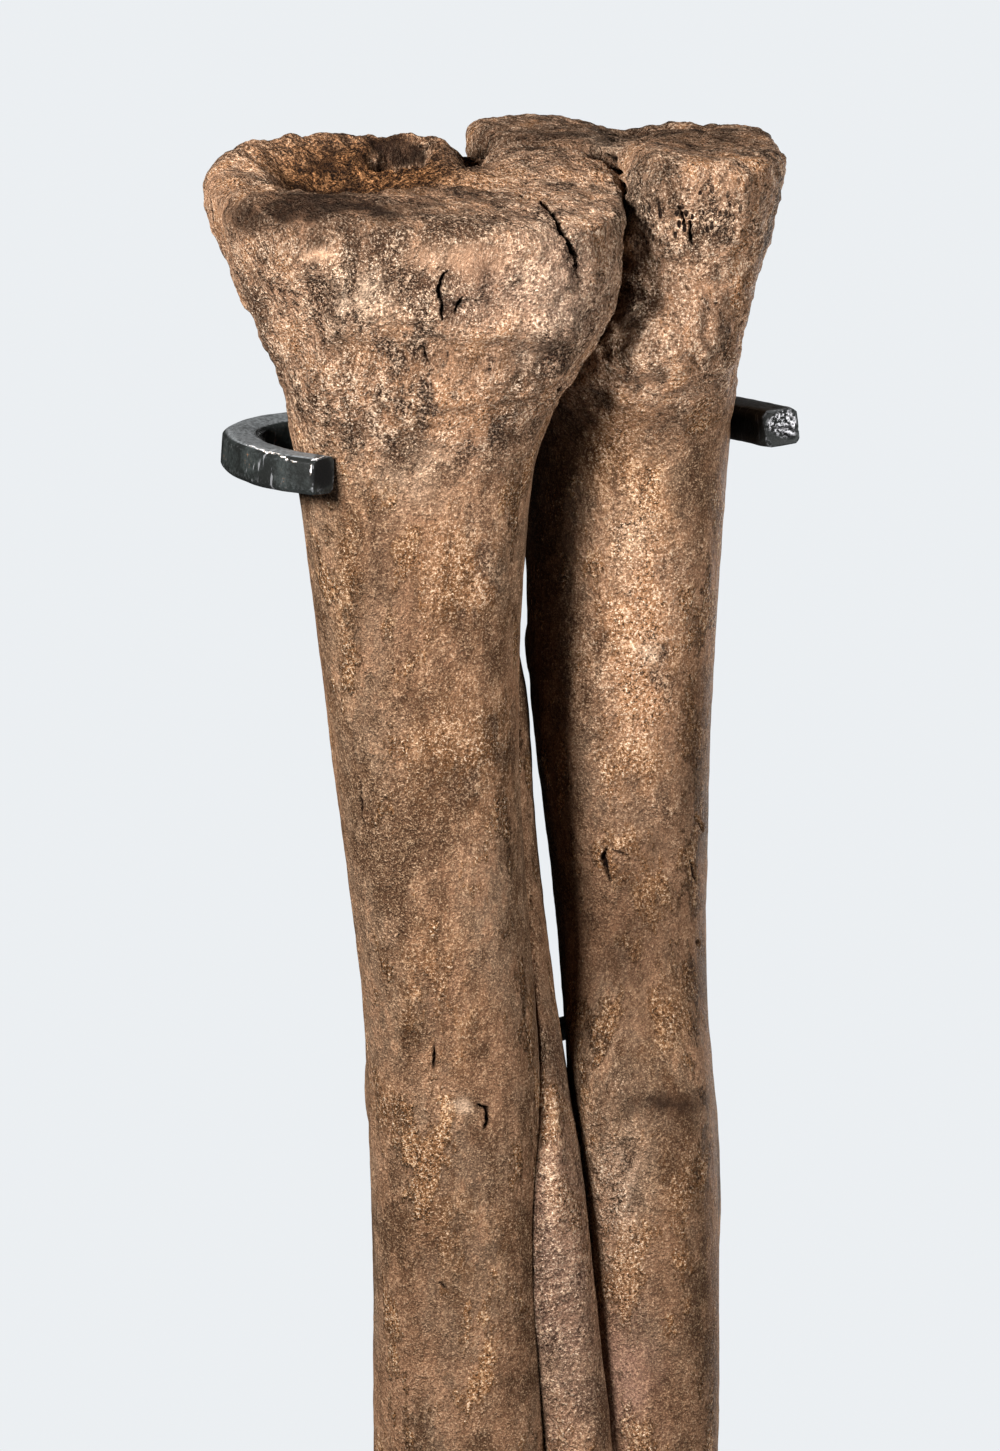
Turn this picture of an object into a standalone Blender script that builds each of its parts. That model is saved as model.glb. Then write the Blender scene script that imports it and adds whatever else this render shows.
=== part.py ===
"""Fossil foot of an ornithomimid dinosaur on a forged steel museum stand.

Three long foot bones stand upright with their toes flat on a steel plate. A post behind
them carries a yoke, a thin rest and a cradle, which hold the bones.

Frame: metres, +Z up, origin at the centre of the plate's underside. The toes point to -Y.
Bone sections are laid out in a turned plan, seen from the front left: "across" runs to the
right, "front" runs towards the viewer, and VIEW_TURN turns that plan into the frame.
"""
import math

import bmesh
import bpy
from mathutils import Matrix, Vector

MM = 0.001

# Driving dimensions, in millimetres and degrees
VIEW_TURN = -27.0
COLUMN_Y = 95.0
EYE_HEIGHT = 335.0
PLATE_WIDTH = 236.0
PLATE_LENGTH = 344.0
PLATE_THICKNESS = 10.0
PLATE_BEVEL = 2.0
CONTACT_GAP = 0.3
BONE_GAP = 0.6
JOINT_GAP = 0.8

POST_ACROSS = 14.0
POST_FRONT = -37.6
POST_SIDE = 10.0
YOKE_BAR = 5.6
REST_BAR = 3.0
BAR_CHAMFER = 0.12
BAR_ROLL = 5.0
BAR_STEPS_PER_POINT = 2
POST_BEVEL = 0.9
POST_BELOW_YOKE = 1.6
YOKE_LEVEL = 44.4
REST_LEVEL = -54.3
CRADLE_LEVEL = -200.0

LONG_BONE_SEGMENTS = 24
LONG_BONE_STEP = 15.0
LONG_BONE_END = 11.5
SPLINT_SEGMENTS = 20
SPLINT_STEP = 12.0
SPLINT_END = 13.5
TOE_SEGMENTS = 16

# Sections of the outer bones: height above eye level, across, front, half width across,
# half depth, squareness of the oval, and the oval's own turn in degrees.
SECOND_SHAFT = [
    (-278.0, -22.4, 11.2, 12.4, 12.5, 2.6, 27.0),
    (-250.0, -20.6, 11.0, 12.6, 14.0, 2.4, 25.0),
    (-215.0, -16.0, 10.5, 13.2, 13.5, 2.2, 16.0),
    (-180.0, -12.6, 10.0, 13.8, 13.5, 2.2, 6.0),
    (-140.0, -10.6, 9.5, 13.9, 14.0, 2.2, 0.0),
    (-112.0, -10.4, 9.0, 13.7, 14.0, 2.2, 0.0),
    (-80.0, -11.1, 9.0, 13.2, 14.0, 2.2, 0.0),
    (-56.0, -11.4, 9.2, 13.6, 14.0, 2.2, 0.0),
    (-38.0, -12.5, 9.6, 13.1, 14.0, 2.2, 0.0),
    (-16.0, -14.7, 10.0, 13.5, 14.0, 2.2, 0.0),
    (7.0, -16.4, 10.3, 14.6, 14.3, 2.2, 0.0),
    (30.0, -17.2, 10.5, 16.6, 15.0, 2.2, 0.0),
    (45.0, -17.5, 10.6, 18.1, 15.5, 2.2, 0.0),
    (54.0, -16.3, 11.0, 20.7, 18.0, 2.3, 0.0),
    (61.0, -14.7, 11.5, 24.2, 21.0, 2.4, 0.0),
]
FOURTH_SHAFT = [
    (-281.0, 25.0, -15.0, 11.8, 12.5, 2.6, 27.0),
    (-250.0, 23.2, -13.8, 11.6, 13.5, 2.4, 25.0),
    (-215.0, 20.6, -11.8, 11.4, 13.2, 2.2, 16.0),
    (-180.0, 18.8, -10.4, 11.2, 13.2, 2.2, 6.0),
    (-140.0, 18.0, -9.6, 11.0, 13.6, 2.2, 0.0),
    (-112.0, 18.4, -9.4, 11.0, 14.0, 2.2, 0.0),
    (-86.0, 18.2, -9.5, 11.2, 14.0, 2.2, 0.0),
    (-60.0, 17.2, -9.8, 11.4, 14.0, 2.2, 0.0),
    (-40.0, 15.6, -10.0, 11.2, 14.2, 2.2, 0.0),
    (-22.0, 15.0, -10.0, 12.2, 14.5, 2.2, 0.0),
    (1.0, 13.9, -10.0, 13.9, 15.0, 2.2, 0.0),
    (20.0, 13.9, -10.0, 14.8, 15.2, 2.2, 0.0),
    (42.0, 15.3, -10.0, 15.2, 15.6, 2.2, 0.0),
    (54.0, 16.0, -10.0, 15.4, 17.8, 2.3, 0.0),
    (61.0, 16.9, -9.6, 15.9, 19.6, 2.4, 0.0),
]
SPLINT_SHAFT = [
    (-291.0, 4.0, 3.6, 13.6, 14.0, 2.8, 27.0),
    (-262.0, 4.2, 3.4, 13.2, 14.5, 2.6, 27.0),
    (-225.0, 4.6, 3.0, 11.6, 12.5, 2.4, 24.0),
    (-180.0, 6.0, 2.6, 9.4, 10.5, 2.2, 10.0),
    (-140.0, 7.4, 1.8, 7.2, 9.5, 2.0, 0.0),
    (-112.0, 7.8, 1.2, 5.6, 8.6, 2.0, 0.0),
    (-90.0, 5.8, 0.8, 4.9, 8.0, 2.0, 0.0),
    (-66.0, 3.8, 0.0, 4.2, 7.6, 2.0, 0.0),
    (-50.0, 1.4, -1.4, 3.6, 7.2, 2.0, 0.0),
    (-34.0, -0.6, -2.8, 3.4, 6.8, 2.0, 0.0),
    (-12.0, -2.7, -4.2, 3.3, 6.2, 2.0, 0.0),
    (6.0, -3.6, -5.2, 3.2, 5.4, 2.0, 0.0),
    (14.0, -5.0, -6.6, 2.4, 3.6, 2.0, 0.0),
    (20.0, -6.2, -7.4, 1.1, 1.7, 2.0, 0.0),
]

# Plans of the two heads: (across, front) points round each rim, counter-clockwise from the right
SECOND_HEAD = [
    (14.5, 13.0), (11.5, 26.0), (-1.0, 34.5), (-18.0, 37.0), (-34.0, 33.0), (-45.0, 22.5),
    (-48.4, 9.0), (-44.5, -4.0), (-32.0, -10.5), (-14.0, -12.5), (2.0, -10.0), (11.5, -1.0),
]
SECOND_HEAD_CENTRE = (-17.0, 12.0)
# A head's top: height over the plan's zero, slope towards the front, and its bumps as
# (rise, across, front, reach across, reach ahead)
SECOND_CROWN = (89.2, -0.096, [(-6.5, -27.0, 5.0, 12.5, 10.5), (-3.4, 5.0, 10.0, 14.0, 40.0)])
FOURTH_CROWN = (90.6, 0.1, [(-1.8, 20.0, -14.0, 11.0, 12.0), (1.0, -3.0, -28.0, 9.0, 8.0)])
FOURTH_HEAD = [
    (38.4, -10.0), (36.8, 3.5), (26.5, 10.0), (16.2, 6.5), (14.4, -11.5), (3.0, -17.0),
    (-8.0, -19.5), (-10.6, -28.0), (-4.0, -36.0), (16.0, -37.0), (34.5, -29.0),
]
FOURTH_HEAD_CENTRE = (17.0, -17.5)
# A head's wall: height, share of the plan and how far its centre moves across
SECOND_HEAD_LEVELS = [(66.5, 0.87, 1.8), (72.0, 0.94, 1.4), (78.0, 0.985, 0.6), (84.0, 1.0, 0.0)]
FOURTH_HEAD_LEVELS = [(66.5, 0.78, 0.2), (72.0, 0.87, 0.0), (78.0, 0.955, 0.0), (84.0, 1.0, 0.0)]

# Rounding of a head's rim: share of the plan's radius and depth below the crown
RIM_STEPS = [(0.992, 2.6), (0.955, 0.9), (0.89, 0.0), (0.74, 0.0), (0.55, 0.0), (0.34, 0.0), (0.15, 0.0)]
# Rounding of a lower end: share of the half depth, share of the end's radius below its centre
ROLLER_STEPS = [(1.0, 0.0), (0.94, 0.38), (0.8, 0.64), (0.58, 0.85), (0.3, 0.97)]

# Bars of the stand: (across, front, rise) along each centre line
YOKE_ROUTE = [
    (-30.7, 26.5, 0.4), (-36.2, 22.6, 0.3), (-40.8, 16.6, 0.2), (-43.6, 8.5, 0.0),
    (-43.0, 0.0, -0.4), (-38.0, -7.6, -0.8), (-28.0, -12.4, -1.0), (-14.0, -18.4, -1.2),
    (-2.0, -25.0, -1.4), (7.0, -28.9, -1.6), (14.0, -29.2, -1.7), (22.0, -29.0, -1.7),
    (30.4, -24.2, -1.6), (34.8, -14.0, -0.4), (38.1, -4.4, 1.0),
]
REST_ROUTE = [
    (-20.0, -7.6, 0.0), (-10.0, -7.8, 0.0), (-2.0, -12.5, 0.0), (3.0, -20.5, 0.0),
    (9.0, -27.5, 0.0), (14.0, -29.8, 0.0), (21.0, -28.2, 0.0),
]
CRADLE_ROUTE = [
    (-28.6, 24.4, 0.0), (-32.2, 15.6, 0.0), (-32.0, 5.5, 0.0), (-25.6, -3.8, 0.0),
    (-14.0, -8.6, 0.0), (-3.0, -16.5, 0.0), (5.0, -26.0, 0.0), (14.0, -28.9, 0.0),
    (22.0, -28.8, 0.0), (30.4, -22.6, 0.0), (34.4, -12.4, 0.0), (35.4, -2.6, 0.0),
]

# Toes: where the first bone starts (x, y from the column, height), splay in degrees and, for
# each bone, its length, half width and half height at the near end
SECOND_TOE = ((-25.1, 0.2, 54.0), 12.4, -20.0, [(74.0, 12.0, 11.5), (44.0, 10.0, 9.6), (48.0, 8.2, 9.0)])
THIRD_TOE = ((1.9, -5.0, 44.0), 14.0, 1.5,
             [(84.0, 14.0, 12.8), (60.0, 11.8, 11.2), (45.0, 10.4, 9.8), (46.0, 8.8, 9.4)])
FOURTH_TOE = ((29.1, 2.0, 51.0), 12.4, 23.0,
              [(54.0, 11.6, 11.6), (36.0, 10.2, 10.2), (26.0, 9.2, 9.2), (24.0, 8.6, 8.8),
               (44.0, 8.0, 8.8)])
# A toe bone's waist: share of its length, of its half width and of its half height
TOE_PROFILE = [
    (0.0, 0.62, 0.62), (0.02, 0.9, 0.9), (0.08, 1.0, 1.0), (0.26, 0.82, 0.8), (0.5, 0.66, 0.62),
    (0.72, 0.72, 0.66), (0.86, 0.84, 0.76), (0.95, 0.82, 0.74), (1.0, 0.6, 0.5),
]
CLAW_PROFILE = [
    (0.0, 0.6, 0.62), (0.03, 0.92, 0.94), (0.1, 1.0, 1.0), (0.3, 0.86, 0.86), (0.55, 0.66, 0.64),
    (0.78, 0.42, 0.4), (0.93, 0.2, 0.2), (1.0, 0.09, 0.09),
]
TOE_FAR_HEIGHT = 0.76

BONE_COLOUR = (0.30, 0.175, 0.105)
CLAW_COLOUR = (0.17, 0.10, 0.065)
STEEL_COLOUR = (0.035, 0.033, 0.031)


def remove_everything():
    """Empty the scene before the model is built."""
    for thing in list(bpy.data.objects):
        bpy.data.objects.remove(thing, do_unlink=True)


def make_material(name, colour, roughness, metallic):
    """Give a named Principled material."""
    material = bpy.data.materials.new(name)
    material.use_nodes = True
    shader = material.node_tree.nodes["Principled BSDF"]
    shader.inputs["Base Color"].default_value = (*colour, 1.0)
    shader.inputs["Roughness"].default_value = roughness
    shader.inputs["Metallic"].default_value = metallic
    return material


def placed(across, front, height):
    """Turn a point of the plan (mm, height above eye level) into the frame (metres)."""
    turn = math.radians(VIEW_TURN)
    x = across * math.cos(turn) + front * math.sin(turn)
    y = across * math.sin(turn) - front * math.cos(turn) + COLUMN_Y
    return Vector((x, y, height + EYE_HEIGHT)) * MM


def smooth_between(knots, values, at):
    """Read a smooth curve through (knot, value) pairs; the values are lists of numbers."""
    last = len(knots) - 1
    place = max(0, min(last - 1, sum(1 for knot in knots if knot <= at) - 1))
    span = knots[place + 1] - knots[place]
    share = (at - knots[place]) / span

    def slope(index):
        low = max(0, index - 1)
        high = min(last, index + 1)
        width = knots[high] - knots[low]
        return [(b - a) / width * span for a, b in zip(values[low], values[high])]

    weight_a = 2 * share ** 3 - 3 * share ** 2 + 1
    weight_b = share ** 3 - 2 * share ** 2 + share
    weight_c = -2 * share ** 3 + 3 * share ** 2
    weight_d = share ** 3 - share ** 2
    rows = zip(values[place], slope(place), values[place + 1], slope(place + 1))
    return [weight_a * a + weight_b * sa + weight_c * b + weight_d * sb for a, sa, b, sb in rows]


def oval_ring(section, segments):
    """Give the plan points of one oval section, counter-clockwise from the right."""
    across, front, half_width, half_depth, squareness, turn = section
    lean = math.radians(turn)
    ring = []
    for step in range(segments):
        angle = 2 * math.pi * step / segments
        side = math.cos(angle)
        ahead = math.sin(angle)
        reach = (abs(side) ** squareness + abs(ahead) ** squareness) ** (-1 / squareness)
        u = half_width * reach * side
        d = half_depth * reach * ahead
        ring.append((across + u * math.cos(lean) + d * math.sin(lean),
                     front - u * math.sin(lean) + d * math.cos(lean)))
    return ring


def plan_ring(points, centre, segments, share):
    """Give the points where rays from the centre meet a smooth closed plan, scaled by a share."""
    closed = points[-2:] + points + points[:3]
    knots = list(range(len(closed)))
    fine = [smooth_between(knots, closed, 2 + step / 6) for step in range(6 * len(points))]
    angles = [math.atan2(d - centre[1], u - centre[0]) % (2 * math.pi) for u, d in fine]
    radii = [math.hypot(u - centre[0], d - centre[1]) for u, d in fine]
    ring = []
    for step in range(segments):
        angle = 2 * math.pi * step / segments
        weights = [max(0.0, 1 - abs(math.remainder(angle - other, 2 * math.pi)) / 0.16) for other in angles]
        radius = sum(w * r for w, r in zip(weights, radii)) / sum(weights) * share
        ring.append((centre[0] + radius * math.cos(angle), centre[1] + radius * math.sin(angle)))
    return ring


def section_at(shaft, height):
    """Read a shaft's oval at a height."""
    return smooth_between([row[0] for row in shaft], [row[1:] for row in shaft], height)


def pushed_clear(ring, section):
    """Move a ring's points out of a neighbour's oval, with the bones' gap."""
    across, front, half_width, half_depth, squareness, turn = section
    lean = math.radians(turn)
    moved = []
    for u, d in ring:
        side = (u - across) * math.cos(lean) - (d - front) * math.sin(lean)
        ahead = (u - across) * math.sin(lean) + (d - front) * math.cos(lean)
        inside = ((abs(side) / (half_width + BONE_GAP)) ** squareness
                  + (abs(ahead) / (half_depth + BONE_GAP)) ** squareness) ** (1 / squareness)
        if inside < 1:
            side /= inside
            ahead /= inside
        moved.append((across + side * math.cos(lean) + ahead * math.sin(lean),
                      front - side * math.sin(lean) + ahead * math.cos(lean)))
    return moved


def skin_rings(name, rings, material):
    """Loft rings of frame points into one closed body, extruding edge loop by edge loop."""
    mesh = bpy.data.meshes.new(name)
    shape = bmesh.new()
    front = [shape.verts.new(point) for point in rings[0]]
    base = shape.faces.new(front)
    loop = base.edges[:]
    for ring in rings[1:]:
        made = bmesh.ops.extrude_edge_only(shape, edges=loop)["geom"]
        fresh = {item for item in made if isinstance(item, bmesh.types.BMVert)}
        edges = [item for item in made if isinstance(item, bmesh.types.BMEdge)]
        loop = [edge for edge in edges if fresh.issuperset(edge.verts)]
        front = [next(edge.other_vert(old) for edge in old.link_edges if edge.other_vert(old) in fresh)
                 for old in front]
        for vert, point in zip(front, ring):
            vert.co = point
    crown = shape.faces.new(front)
    bmesh.ops.poke(shape, faces=[base, crown])
    bmesh.ops.recalc_face_normals(shape, faces=shape.faces[:])
    bmesh.ops.triangulate(shape, faces=shape.faces[:])
    shape.to_mesh(mesh)
    shape.free()
    mesh.shade_smooth()
    mesh.materials.append(material)
    thing = bpy.data.objects.new(name, mesh)
    bpy.context.scene.collection.objects.link(thing)
    return thing


def crown_height(crown, u, d):
    """Height of a head's top at a point of the plan: a sloping plane with soft bumps."""
    height, slope, bumps = crown
    level = height + slope * d
    for rise, across, front, reach_across, reach_front in bumps:
        level += rise * math.exp(-((u - across) / reach_across) ** 2 - ((d - front) / reach_front) ** 2)
    return level


def roller_rings(shaft, segments, radius):
    """Give the rings of a bone's rounded lower end, from the bottom up."""
    height = shaft[0][0]
    rings = []
    for depth_share, drop in reversed(ROLLER_STEPS[1:]):
        across, front, half_width, half_depth, squareness, turn = shaft[0][1:]
        narrow = 0.8 + 0.2 * depth_share
        section = (across, front, half_width * narrow, half_depth * depth_share, squareness, turn)
        rings.append((height - radius * drop, oval_ring(section, segments)))
    return rings


def shaft_rings(shaft, segments, spacing):
    """Give a shaft's rings at even steps between its sections."""
    rings = []
    for low, high in zip(shaft, shaft[1:]):
        steps = max(1, round((high[0] - low[0]) / spacing))
        for step in range(steps):
            height = low[0] + (high[0] - low[0]) * step / steps
            rings.append((height, oval_ring(section_at(shaft, height), segments)))
    rings.append((shaft[-1][0], oval_ring(shaft[-1][1:], segments)))
    return rings


def head_rings(plan, centre, levels, crown):
    """Give a head's wall rings and the rings of its top, which shrink to the centre."""
    walls = []
    for level, share, shift in levels:
        ring = plan_ring(plan, centre, LONG_BONE_SEGMENTS, share)
        walls.append([(u + shift, d, level) for u, d in ring])
    tops = []
    for share, drop in RIM_STEPS:
        ring = plan_ring(plan, centre, LONG_BONE_SEGMENTS, share)
        tops.append([(u, d, crown_height(crown, u, d) - drop) for u, d in ring])
    return walls, tops


def make_outer_bone(name, shaft, head, neighbour, material):
    """Build one of the two outer foot bones, from its roller end up to its head."""
    rings = roller_rings(shaft, LONG_BONE_SEGMENTS, LONG_BONE_END)
    rings += shaft_rings(shaft, LONG_BONE_SEGMENTS, LONG_BONE_STEP)
    if neighbour:
        rings = [(height, pushed_clear(ring, section_at(neighbour, height))) for height, ring in rings]
    solid = [[(u, d, height) for u, d in ring] for height, ring in rings]
    walls, tops = head_rings(*head)
    solid += walls + tops
    return skin_rings(name, [[placed(*point) for point in ring] for ring in solid], material)


def make_splint(material):
    """Build the pinched middle bone, which fills the wedge between the outer two."""
    rings = roller_rings(SPLINT_SHAFT, SPLINT_SEGMENTS, SPLINT_END)
    rings += shaft_rings(SPLINT_SHAFT, SPLINT_SEGMENTS, SPLINT_STEP)
    solid = []
    for height, ring in rings:
        clear = pushed_clear(ring, section_at(SECOND_SHAFT, max(height, SECOND_SHAFT[0][0])))
        clear = pushed_clear(clear, section_at(FOURTH_SHAFT, max(height, FOURTH_SHAFT[0][0])))
        solid.append([placed(u, d, height) for u, d in clear])
    return skin_rings("metatarsal_iii", solid, material)


def toe_ring(origin, heading, pitch, along, half_width, half_height, segments):
    """Give one section of a toe bone: flat below, round above."""
    ring = []
    for step in range(segments):
        angle = 2 * math.pi * step / segments
        side = half_width * math.copysign(abs(math.cos(angle)) ** 0.8, math.cos(angle))
        rise = half_height * math.copysign(abs(math.sin(angle)) ** 0.85, math.sin(angle))
        ring.append(Vector((side, -along, rise)))
    turn = Matrix.Rotation(math.radians(heading), 4, "Z") @ Matrix.Rotation(pitch, 4, "X")
    spots = [origin + turn @ point for point in ring]
    floor = PLATE_THICKNESS + CONTACT_GAP
    return [Vector((spot.x, spot.y, max(spot.z, floor))) * MM for spot in spots]


def make_toe(prefix, toe, material, claw_material):
    """Build one toe: each bone starts where the last one ends, and the claw ends it."""
    (x, y, z), radius, splay, bones = toe
    ahead = Matrix.Rotation(math.radians(splay), 4, "Z") @ Vector((0, -1, 0))
    floor = PLATE_THICKNESS + CONTACT_GAP
    near = Vector((x, y + COLUMN_Y, z))
    first_length = bones[0][0]
    drop = z - (floor + bones[0][2] * TOE_FAR_HEIGHT)
    fall = math.asin(drop / (first_length + radius))
    near += (radius + JOINT_GAP) * (ahead * math.cos(fall) + Vector((0, 0, -math.sin(fall))))
    for number, (length, half_width, half_height) in enumerate(bones, start=1):
        is_claw = number == len(bones)
        profile = CLAW_PROFILE if is_claw else TOE_PROFILE
        far_rise = floor + half_height * (profile[-2][2] if is_claw else TOE_FAR_HEIGHT)
        if number > 1:
            near.z = floor + half_height
        pitch = math.asin(max(-0.9, min(0.9, (near.z - far_rise) / length)))
        rings = []
        for share, wide, tall in profile:
            rings.append(toe_ring(near, splay, pitch, share * length, half_width * wide,
                                  half_height * tall, TOE_SEGMENTS))
        label = "claw_" + prefix if is_claw else "phalanx_" + prefix + "_" + str(number)
        skin_rings(label, rings, claw_material if is_claw else material)
        step = length + JOINT_GAP + TOE_FAR_HEIGHT * half_height * abs(math.sin(pitch))
        near = near + step * (ahead * math.cos(pitch) + Vector((0, 0, -math.sin(pitch))))


def bar_ring(centre, forward, size):
    """Give the chamfered square section of a forged bar, square to its run, its top tipped out."""
    side = Vector((-forward.y, forward.x, 0)).normalized()
    roll = Matrix.Rotation(math.radians(BAR_ROLL), 3, forward)
    rise = roll @ forward.cross(side).normalized()
    side = roll @ side
    half = size / 2
    cut = half - size * BAR_CHAMFER
    corners = [(half, cut), (cut, half), (-cut, half), (-half, cut), (-half, -cut), (-cut, -half),
               (cut, -half), (half, -cut)]
    return [(centre + side * a + rise * b) for a, b in corners]


def make_bar(name, route, level, size, material):
    """Build a forged bar that follows a smooth route at a level above eye height."""
    knots = list(range(len(route)))
    last = knots[-1]
    steps = last * BAR_STEPS_PER_POINT
    points = [Vector(smooth_between(knots, route, last * step / steps)) for step in range(steps + 1)]
    spots = [placed(u, d, level + rise) / MM for u, d, rise in points]
    rings = []
    for place, spot in enumerate(spots):
        before = spots[max(0, place - 1)]
        after = spots[min(steps, place + 1)]
        ring = bar_ring(spot, (after - before).normalized(), size)
        rings.append([point * MM for point in ring])
    thing = skin_rings(name, rings, material)
    thing.data.set_sharp_from_angle(angle=math.radians(35))
    return thing


def make_block(name, size, centre, bevel, turn, material):
    """Build a bevelled steel block."""
    mesh = bpy.data.meshes.new(name)
    shape = bmesh.new()
    bmesh.ops.create_cube(shape, size=1.0)
    bmesh.ops.scale(shape, vec=Vector(size) * MM, verts=shape.verts[:])
    bmesh.ops.bevel(shape, geom=shape.edges[:], offset=bevel * MM, segments=1, profile=0.5,
                    affect="EDGES", material=-1)
    bmesh.ops.rotate(shape, matrix=Matrix.Rotation(math.radians(turn), 3, "Z"), verts=shape.verts[:])
    bmesh.ops.translate(shape, vec=centre, verts=shape.verts[:])
    shape.to_mesh(mesh)
    shape.free()
    mesh.materials.append(material)
    thing = bpy.data.objects.new(name, mesh)
    bpy.context.scene.collection.objects.link(thing)
    return thing


def make_stand(material):
    """Build the plate, the post and the three bars that hold the bones."""
    make_block("base_plate", (PLATE_WIDTH, PLATE_LENGTH, PLATE_THICKNESS),
               Vector((0, 0, PLATE_THICKNESS / 2)) * MM, PLATE_BEVEL, 0, material)
    low = PLATE_THICKNESS + CONTACT_GAP - EYE_HEIGHT
    high = YOKE_LEVEL + YOKE_BAR / 2 - POST_BELOW_YOKE
    middle = placed(POST_ACROSS, POST_FRONT, (low + high) / 2)
    make_block("post", (POST_SIDE, POST_SIDE, high - low), middle, POST_BEVEL, VIEW_TURN, material)
    make_bar("upper_yoke", YOKE_ROUTE, YOKE_LEVEL, YOKE_BAR, material)
    make_bar("middle_rest", REST_ROUTE, REST_LEVEL, REST_BAR, material)
    make_bar("lower_cradle", CRADLE_ROUTE, CRADLE_LEVEL, YOKE_BAR, material)


def main():
    """Build the bones, the toes and the stand."""
    remove_everything()
    bone = make_material("fossil_bone", BONE_COLOUR, 0.8, 0.0)
    claw = make_material("fossil_claw", CLAW_COLOUR, 0.5, 0.0)
    steel = make_material("black_steel", STEEL_COLOUR, 0.45, 0.6)
    second_head = (SECOND_HEAD, SECOND_HEAD_CENTRE, SECOND_HEAD_LEVELS, SECOND_CROWN)
    fourth_head = (FOURTH_HEAD, FOURTH_HEAD_CENTRE, FOURTH_HEAD_LEVELS, FOURTH_CROWN)
    make_outer_bone("metatarsal_ii", SECOND_SHAFT, second_head, None, bone)
    make_outer_bone("metatarsal_iv", FOURTH_SHAFT, fourth_head, SECOND_SHAFT, bone)
    make_splint(bone)
    make_toe("ii", SECOND_TOE, bone, claw)
    make_toe("iii", THIRD_TOE, bone, claw)
    make_toe("iv", FOURTH_TOE, bone, claw)
    make_stand(steel)


main()
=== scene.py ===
"""Looks of a fossil ornithomimid foot on its forged steel stand.

The long bones, toe bones and claws are sculpted copies of the solids they stand for: the
solid is smoothed, refined where marks are small, and its points are moved along their
normals by lumps, pits, cracks and breaks. The stand is dressed as blackened forged steel.
"""
import logging
import math
from dataclasses import dataclass, field
from enum import Enum
from typing import Any, Callable, Sequence

import bmesh
import bpy
import numpy as np
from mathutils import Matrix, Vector, noise


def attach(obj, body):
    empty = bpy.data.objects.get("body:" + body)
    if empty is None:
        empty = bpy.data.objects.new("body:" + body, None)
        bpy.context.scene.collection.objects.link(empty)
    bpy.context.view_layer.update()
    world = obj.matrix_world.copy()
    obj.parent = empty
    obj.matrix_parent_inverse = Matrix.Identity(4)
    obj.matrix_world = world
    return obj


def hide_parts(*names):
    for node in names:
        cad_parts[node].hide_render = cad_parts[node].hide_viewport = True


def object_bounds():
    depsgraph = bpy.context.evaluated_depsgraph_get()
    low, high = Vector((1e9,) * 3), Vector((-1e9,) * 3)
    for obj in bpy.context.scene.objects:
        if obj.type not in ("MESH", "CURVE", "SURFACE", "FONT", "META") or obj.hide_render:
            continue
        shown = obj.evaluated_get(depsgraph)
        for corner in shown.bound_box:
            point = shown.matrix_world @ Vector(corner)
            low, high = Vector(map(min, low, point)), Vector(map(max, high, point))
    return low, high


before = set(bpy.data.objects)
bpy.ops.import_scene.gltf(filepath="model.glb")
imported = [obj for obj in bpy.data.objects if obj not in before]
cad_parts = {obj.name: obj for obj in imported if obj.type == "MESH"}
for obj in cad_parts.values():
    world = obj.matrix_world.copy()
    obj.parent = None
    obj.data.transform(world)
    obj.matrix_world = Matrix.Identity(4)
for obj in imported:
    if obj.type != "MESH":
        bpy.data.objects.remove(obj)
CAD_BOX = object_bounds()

LOG = logging.getLogger("fossil_foot")
MM = 0.001
WELD = 1e-6
SAME_PLANE = math.radians(50)
QUAD_SHAPE = math.radians(60)
CREASE = 0.95
Point = tuple[float, float]
Colour = tuple[float, float, float]


class Mask(Enum):
    """Sculpted masks that a mesh carries for its material."""

    # Cracks; on the fourth bone one line is painted shadow in a cleft.
    CRACK_AND_SHADOW = "crack"
    SPONGY = "spongy"
    ROUGH = "rough"
    PITTED = "pitted"
    # Rubbed places; on the head's front rim they are painted highlights.
    WEAR_AND_HIGHLIGHT = "worn"
    GOLD = "gold"
    # Paler places, some of them painted highlights; on the steel, the painted highlight on top
    # faces.
    PALE_AND_HIGHLIGHT = "pale"
    # Painted shade.
    DARK = "dark"
    RED = "red"


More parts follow.
